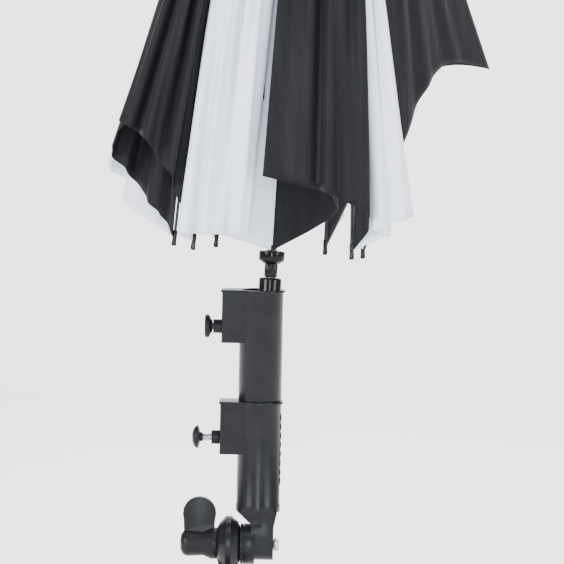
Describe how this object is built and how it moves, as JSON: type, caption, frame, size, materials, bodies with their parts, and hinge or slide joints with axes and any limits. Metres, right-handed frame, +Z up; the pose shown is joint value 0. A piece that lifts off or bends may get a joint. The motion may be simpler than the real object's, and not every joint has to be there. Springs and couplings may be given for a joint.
{
  "type": "umbrella in trolley holder",
  "caption": "Closed straight umbrella with black and white canopy panels, standing in a telescoping two-piece clamp-on trolley holder with thumb screws and a tilt joint.",
  "frame": {"origin": "centre of the trolley tube that the C-shaped clamp grips, which is the part's own origin at the middle of the clamp's width", "axes": "+X along the trolley tube, to the right; -Y towards the front, where the thumb blade and screw boxes face left; +Z up along the holder's tubes"},
  "size_m": [0.3993, 0.3089, 1.2067],
  "materials": {
    "holder_plastic": "satin moulded black plastic",
    "knob_plastic": "moulded black plastic",
    "rubber": "matt rubber",
    "screw_steel": "dark zinc plated steel",
    "shaft_steel": "plain steel tube",
    "rib_steel": "black lacquered steel",
    "fitting_plastic": "semi-gloss black plastic",
    "black_cloth": "black plain-woven polyester",
    "white_cloth": "white plain-woven polyester"
  },
  "bodies": {
    "clamp": {"clamp_frame": "holder_plastic", "saddle_liner": "rubber", "tilt_bolt": "screw_steel", "serrated_washer": "knob_plastic"},
    "jaw": {"clamp_jaw": "rubber"},
    "jaw_screw": {"clamp_screw": "screw_steel", "clamp_knob": "knob_plastic"},
    "tilt_knob": {"tilt_knob": "knob_plastic"},
    "lower_holder": {"lower_tube": "holder_plastic", "lower_bush": "knob_plastic"},
    "lower_pad": {"lower_pad": "rubber"},
    "lower_thumb_screw": {"lower_screw": "screw_steel", "lower_screw_head": "knob_plastic"},
    "upper_holder": {"upper_tube": "holder_plastic", "upper_bush": "knob_plastic"},
    "upper_pad": {"upper_pad": "rubber"},
    "upper_thumb_screw": {"upper_screw": "screw_steel", "upper_screw_head": "knob_plastic"},
    "umbrella": {"shaft": "shaft_steel", "handle_grip": "fitting_plastic", "release_collar": "fitting_plastic", "tip_cup": "fitting_plastic", "crown": "fitting_plastic", "top_cap": "fitting_plastic", "ferrule": "fitting_plastic"},
    "catch": {"top_catch": "screw_steel"},
    "runner": {"runner": "fitting_plastic"},
    "rib_1": {"rib_1": "rib_steel"},
    "rib_2": {"rib_2": "rib_steel"},
    "rib_3": {"rib_3": "rib_steel"},
    "rib_4": {"rib_4": "rib_steel"},
    "rib_5": {"rib_5": "rib_steel"},
    "rib_6": {"rib_6": "rib_steel"},
    "rib_7": {"rib_7": "rib_steel"},
    "rib_8": {"rib_8": "rib_steel"},
    "stretcher_1": {"stretcher_1": "rib_steel"},
    "stretcher_2": {"stretcher_2": "rib_steel"},
    "stretcher_3": {"stretcher_3": "rib_steel"},
    "stretcher_4": {"stretcher_4": "rib_steel"},
    "stretcher_5": {"stretcher_5": "rib_steel"},
    "stretcher_6": {"stretcher_6": "rib_steel"},
    "stretcher_7": {"stretcher_7": "rib_steel"},
    "stretcher_8": {"stretcher_8": "rib_steel"},
    "canopy_1a": {"canopy_1a": "black_cloth"},
    "canopy_1b": {"canopy_1b": "black_cloth"},
    "canopy_2a": {"canopy_2a": "white_cloth"},
    "canopy_2b": {"canopy_2b": "white_cloth"},
    "canopy_3a": {"canopy_3a": "black_cloth"},
    "canopy_3b": {"canopy_3b": "black_cloth"},
    "canopy_4a": {"canopy_4a": "white_cloth"},
    "canopy_4b": {"canopy_4b": "white_cloth"},
    "canopy_5a": {"canopy_5a": "black_cloth"},
    "canopy_5b": {"canopy_5b": "black_cloth"},
    "canopy_6a": {"canopy_6a": "white_cloth"},
    "canopy_6b": {"canopy_6b": "white_cloth"},
    "canopy_7a": {"canopy_7a": "black_cloth"},
    "canopy_7b": {"canopy_7b": "black_cloth"},
    "canopy_8a": {"canopy_8a": "white_cloth"},
    "canopy_8b": {"canopy_8b": "white_cloth"}
  },
  "joints": [
    {"name": "holder_tilt", "type": "hinge", "parent": "clamp", "child": "lower_holder", "pos_m": [0.0156, 0, 0.075], "axis": [1, 0, 0], "range_deg": [-60, 60]},
    {"name": "tilt_knob_turn", "type": "hinge", "parent": "clamp", "child": "tilt_knob", "pos_m": [-0.0123, 0, 0.075], "axis": [1, 0, 0], "range_deg": [0, 450]},
    {"name": "clamp_jaw_slide", "type": "slide", "parent": "clamp", "child": "jaw", "axis": [0, 1, 0], "range_m": [-0.012, 0]},
    {"name": "clamp_screw_turn", "type": "hinge", "parent": "jaw", "child": "jaw_screw", "pos_m": [0, -0.0601, 0], "axis": [0, 1, 0], "range_deg": [-2160.01, 0.01]},
    {"name": "holder_extension", "type": "slide", "parent": "lower_holder", "child": "upper_holder", "axis": [0, 0, 1], "range_m": [0, 0.085]},
    {"name": "lower_pad_slide", "type": "slide", "parent": "lower_holder", "child": "lower_pad", "axis": [1, 0, 0], "range_m": [-0.005, 0]},
    {"name": "lower_screw_turn", "type": "hinge", "parent": "lower_pad", "child": "lower_thumb_screw", "pos_m": [-0.0202, 0, 0.187], "axis": [1, 0, 0], "range_deg": [-900.01, 0.01]},
    {"name": "upper_pad_slide", "type": "slide", "parent": "upper_holder", "child": "upper_pad", "axis": [1, 0, 0], "range_m": [-0.005, 0]},
    {"name": "upper_screw_turn", "type": "hinge", "parent": "upper_pad", "child": "upper_thumb_screw", "pos_m": [-0.0202, 0, 0.3033], "axis": [1, 0, 0], "range_deg": [-900.01, 0.01]},
    {"name": "umbrella_lift", "type": "slide", "parent": "upper_holder", "child": "umbrella", "axis": [0.0436, 0, 0.999], "range_m": [0, 0.135]},
    {"name": "top_catch_press", "type": "slide", "parent": "umbrella", "child": "catch", "axis": [0.999, 0, -0.0436], "range_m": [-0.0015, 0], "stiffness_N_per_m": 900, "springref_m": 0.0004},
    {"name": "canopy_opening", "type": "slide", "parent": "umbrella", "child": "runner", "axis": [0.0436, 0, 0.999], "range_m": [0, 0.44465]},
    {"name": "rib_1_swing", "type": "hinge", "parent": "umbrella", "child": "rib_1", "pos_m": [0.07141, 0, 1.10299], "axis": [-0.999, 0, 0.0436], "range_deg": [0, 69.21]},
    {"name": "stretcher_1_fold", "type": "hinge", "parent": "rib_1", "child": "stretcher_1", "pos_m": [0.05703, -0.02283, 0.77359], "axis": [-0.999, 0, 0.0436], "range_deg": [-139.47, 0]},
    {"name": "rib_2_swing", "type": "hinge", "parent": "umbrella", "child": "rib_2", "pos_m": [0.07141, 0, 1.10299], "axis": [-0.7064, -0.7071, 0.0308], "range_deg": [0, 60.97]},
    {"name": "stretcher_2_fold", "type": "hinge", "parent": "rib_2", "child": "stretcher_2", "pos_m": [0.10664, -0.04937, 0.77809], "axis": [-0.7064, -0.7071, 0.0308], "range_deg": [-122.76, 0]},
    {"name": "rib_3_swing", "type": "hinge", "parent": "umbrella", "child": "rib_3", "pos_m": [0.07141, 0, 1.10299], "axis": [0, -1, 0], "range_deg": [0, 62.5]},
    {"name": "stretcher_3_fold", "type": "hinge", "parent": "rib_3", "child": "stretcher_3", "pos_m": [0.11836, 0, 0.77584], "axis": [0, -1, 0], "range_deg": [-125.86, 0]},
    {"name": "rib_4_swing", "type": "hinge", "parent": "umbrella", "child": "rib_4", "pos_m": [0.07141, 0, 1.10299], "axis": [0.7064, -0.7071, -0.0308], "range_deg": [0, 63.7]},
    {"name": "stretcher_4_fold", "type": "hinge", "parent": "rib_4", "child": "stretcher_4", "pos_m": [0.09559, 0.03843, 0.77562], "axis": [0.7064, -0.7071, -0.0308], "range_deg": [-128.3, 0]},
    {"name": "rib_5_swing", "type": "hinge", "parent": "umbrella", "child": "rib_5", "pos_m": [0.07141, 0, 1.10299], "axis": [0.999, 0, -0.0436], "range_deg": [0, 69.21]},
    {"name": "stretcher_5_fold", "type": "hinge", "parent": "rib_5", "child": "stretcher_5", "pos_m": [0.05703, 0.02283, 0.77359], "axis": [0.999, 0, -0.0436], "range_deg": [-139.47, 0]},
    {"name": "rib_6_swing", "type": "hinge", "parent": "umbrella", "child": "rib_6", "pos_m": [0.07141, 0, 1.10299], "axis": [0.7064, 0.7071, -0.0308], "range_deg": [0, 63.22]},
    {"name": "stretcher_6_fold", "type": "hinge", "parent": "rib_6", "child": "stretcher_6", "pos_m": [0.01689, 0.04036, 0.77952], "axis": [0.7064, 0.7071, -0.0308], "range_deg": [-127.33, 0]},
    {"name": "rib_7_swing", "type": "hinge", "parent": "umbrella", "child": "rib_7", "pos_m": [0.07141, 0, 1.10299], "axis": [0, 1, 0], "range_deg": [0, 61.86]},
    {"name": "stretcher_7_fold", "type": "hinge", "parent": "rib_7", "child": "stretcher_7", "pos_m": [-0.00748, 0, 0.78204], "axis": [0, 1, 0], "range_deg": [-124.56, 0]},
    {"name": "rib_8_swing", "type": "hinge", "parent": "umbrella", "child": "rib_8", "pos_m": [0.07141, 0, 1.10299], "axis": [-0.7064, 0.7071, 0.0308], "range_deg": [0, 61.05]},
    {"name": "stretcher_8_fold", "type": "hinge", "parent": "rib_8", "child": "stretcher_8", "pos_m": [0.00832, -0.04905, 0.78229], "axis": [-0.7064, 0.7071, 0.0308], "range_deg": [-122.93, 0]},
    {"name": "canopy_1a_unfold", "type": "hinge", "parent": "rib_1", "child": "canopy_1a", "pos_m": [0.07141, 0, 1.10299], "axis": [0.118, -0.0746, -0.9902], "range_deg": [0, 174.29], "deforming": ["canopy_1a"]},
    {"name": "canopy_1b_unfold", "type": "hinge", "parent": "rib_2", "child": "canopy_1b", "pos_m": [0.07141, 0, 1.10299], "axis": [0.0062, 0.3942, 0.919], "range_deg": [0, 64.73], "deforming": ["canopy_1b"]},
    {"name": "canopy_2a_unfold", "type": "hinge", "parent": "rib_2", "child": "canopy_2a", "pos_m": [0.07141, 0, 1.10299], "axis": [0.6059, -0.1609, -0.7791], "range_deg": [0, 37.53], "deforming": ["canopy_2a"]},
    {"name": "canopy_2b_unfold", "type": "hinge", "parent": "rib_3", "child": "canopy_2b", "pos_m": [0.07141, 0, 1.10299], "axis": [-0.9082, 0.407, -0.0976], "range_deg": [0, 16.62], "deforming": ["canopy_2b"]},
    {"name": "canopy_3a_unfold", "type": "hinge", "parent": "rib_3", "child": "canopy_3a", "pos_m": [0.07141, 0, 1.10299], "axis": [0.0216, 0.9969, 0.0756], "range_deg": [0, 19.22], "deforming": ["canopy_3a"]},
    {"name": "canopy_3b_unfold", "type": "hinge", "parent": "rib_4", "child": "canopy_3b", "pos_m": [0.07141, 0, 1.10299], "axis": [-0.9854, 0.1703, 0.0076], "range_deg": [0, 34.77], "deforming": ["canopy_3b"]},
    {"name": "canopy_4a_unfold", "type": "hinge", "parent": "rib_4", "child": "canopy_4a", "pos_m": [0.07141, 0, 1.10299], "axis": [-0.0354, 0.751, -0.6593], "range_deg": [0, 34.35], "deforming": ["canopy_4a"]},
    {"name": "canopy_4b_unfold", "type": "hinge", "parent": "rib_5", "child": "canopy_4b", "pos_m": [0.07141, 0, 1.10299], "axis": [-0.5736, -0.4849, -0.6602], "range_deg": [0, 25.8], "deforming": ["canopy_4b"]},
    {"name": "canopy_5a_unfold", "type": "hinge", "parent": "rib_5", "child": "canopy_5a", "pos_m": [0.07141, 0, 1.10299], "axis": [-0.5138, 0.4849, 0.7077], "range_deg": [0, 25.8], "deforming": ["canopy_5a"]},
    {"name": "canopy_5b_unfold", "type": "hinge", "parent": "rib_6", "child": "canopy_5b", "pos_m": [0.07141, 0, 1.10299], "axis": [0.0292, -0.7042, 0.7094], "range_deg": [0, 37.89], "deforming": ["canopy_5b"]},
    {"name": "canopy_6a_unfold", "type": "hinge", "parent": "rib_6", "child": "canopy_6a", "pos_m": [0.07141, 0, 1.10299], "axis": [-0.881, 0.033, -0.4719], "range_deg": [0, 25.77], "deforming": ["canopy_6a"]},
    {"name": "canopy_6b_unfold", "type": "hinge", "parent": "rib_7", "child": "canopy_6b", "pos_m": [0.07141, 0, 1.10299], "axis": [0.6709, -0.5216, 0.5271], "range_deg": [0, 28.25], "deforming": ["canopy_6b"]},
    {"name": "canopy_7a_unfold", "type": "hinge", "parent": "rib_7", "child": "canopy_7a", "pos_m": [0.07141, 0, 1.10299], "axis": [-0.7909, -0.5767, -0.2046], "range_deg": [0, 19.44], "deforming": ["canopy_7a"]},
    {"name": "canopy_7b_unfold", "type": "hinge", "parent": "rib_8", "child": "canopy_7b", "pos_m": [0.07141, 0, 1.10299], "axis": [0.7032, 0.0773, 0.7068], "range_deg": [0, 38.95], "deforming": ["canopy_7b"]},
    {"name": "canopy_8a_unfold", "type": "hinge", "parent": "rib_8", "child": "canopy_8a", "pos_m": [0.07141, 0, 1.10299], "axis": [-0.0711, -0.3141, -0.9467], "range_deg": [0, 96.98], "deforming": ["canopy_8a"]},
    {"name": "canopy_8b_unfold", "type": "hinge", "parent": "rib_1", "child": "canopy_8b", "pos_m": [0.07141, 0, 1.10299], "axis": [0.2869, 0.1341, 0.9485], "range_deg": [0, 116.14], "deforming": ["canopy_8b"]}
  ],
  "couplings": [
    {"joint": "clamp_screw_turn", "follows": "clamp_jaw_slide", "rad_per_m": 3141.6},
    {"joint": "lower_screw_turn", "follows": "lower_pad_slide", "rad_per_m": 3141.6},
    {"joint": "upper_screw_turn", "follows": "upper_pad_slide", "rad_per_m": 3141.6},
    {"joint": "rib_1_swing", "follows": "canopy_opening", "rad_per_m": 2.7164},
    {"joint": "stretcher_1_fold", "follows": "canopy_opening", "rad_per_m": -5.4744},
    {"joint": "rib_2_swing", "follows": "canopy_opening", "rad_per_m": 2.3932},
    {"joint": "stretcher_2_fold", "follows": "canopy_opening", "rad_per_m": -4.8187},
    {"joint": "rib_3_swing", "follows": "canopy_opening", "rad_per_m": 2.4532},
    {"joint": "stretcher_3_fold", "follows": "canopy_opening", "rad_per_m": -4.9403},
    {"joint": "rib_4_swing", "follows": "canopy_opening", "rad_per_m": 2.5004},
    {"joint": "stretcher_4_fold", "follows": "canopy_opening", "rad_per_m": -5.036},
    {"joint": "rib_5_swing", "follows": "canopy_opening", "rad_per_m": 2.7164},
    {"joint": "stretcher_5_fold", "follows": "canopy_opening", "rad_per_m": -5.4744},
    {"joint": "rib_6_swing", "follows": "canopy_opening", "rad_per_m": 2.4815},
    {"joint": "stretcher_6_fold", "follows": "canopy_opening", "rad_per_m": -4.9978},
    {"joint": "rib_7_swing", "follows": "canopy_opening", "rad_per_m": 2.428},
    {"joint": "stretcher_7_fold", "follows": "canopy_opening", "rad_per_m": -4.8892},
    {"joint": "rib_8_swing", "follows": "canopy_opening", "rad_per_m": 2.3964},
    {"joint": "stretcher_8_fold", "follows": "canopy_opening", "rad_per_m": -4.8252},
    {"joint": "canopy_1a_unfold", "follows": "canopy_opening", "rad_per_m": 6.8411},
    {"joint": "canopy_1b_unfold", "follows": "canopy_opening", "rad_per_m": 2.5406},
    {"joint": "canopy_2a_unfold", "follows": "canopy_opening", "rad_per_m": 1.4732},
    {"joint": "canopy_2b_unfold", "follows": "canopy_opening", "rad_per_m": 0.65253},
    {"joint": "canopy_3a_unfold", "follows": "canopy_opening", "rad_per_m": 0.75422},
    {"joint": "canopy_3b_unfold", "follows": "canopy_opening", "rad_per_m": 1.3649},
    {"joint": "canopy_4a_unfold", "follows": "canopy_opening", "rad_per_m": 1.3485},
    {"joint": "canopy_4b_unfold", "follows": "canopy_opening", "rad_per_m": 1.0126},
    {"joint": "canopy_5a_unfold", "follows": "canopy_opening", "rad_per_m": 1.0126},
    {"joint": "canopy_5b_unfold", "follows": "canopy_opening", "rad_per_m": 1.4873},
    {"joint": "canopy_6a_unfold", "follows": "canopy_opening", "rad_per_m": 1.0115},
    {"joint": "canopy_6b_unfold", "follows": "canopy_opening", "rad_per_m": 1.1088},
    {"joint": "canopy_7a_unfold", "follows": "canopy_opening", "rad_per_m": 0.76292},
    {"joint": "canopy_7b_unfold", "follows": "canopy_opening", "rad_per_m": 1.5288},
    {"joint": "canopy_8a_unfold", "follows": "canopy_opening", "rad_per_m": 3.8068},
    {"joint": "canopy_8b_unfold", "follows": "canopy_opening", "rad_per_m": 4.5586}
  ]
}
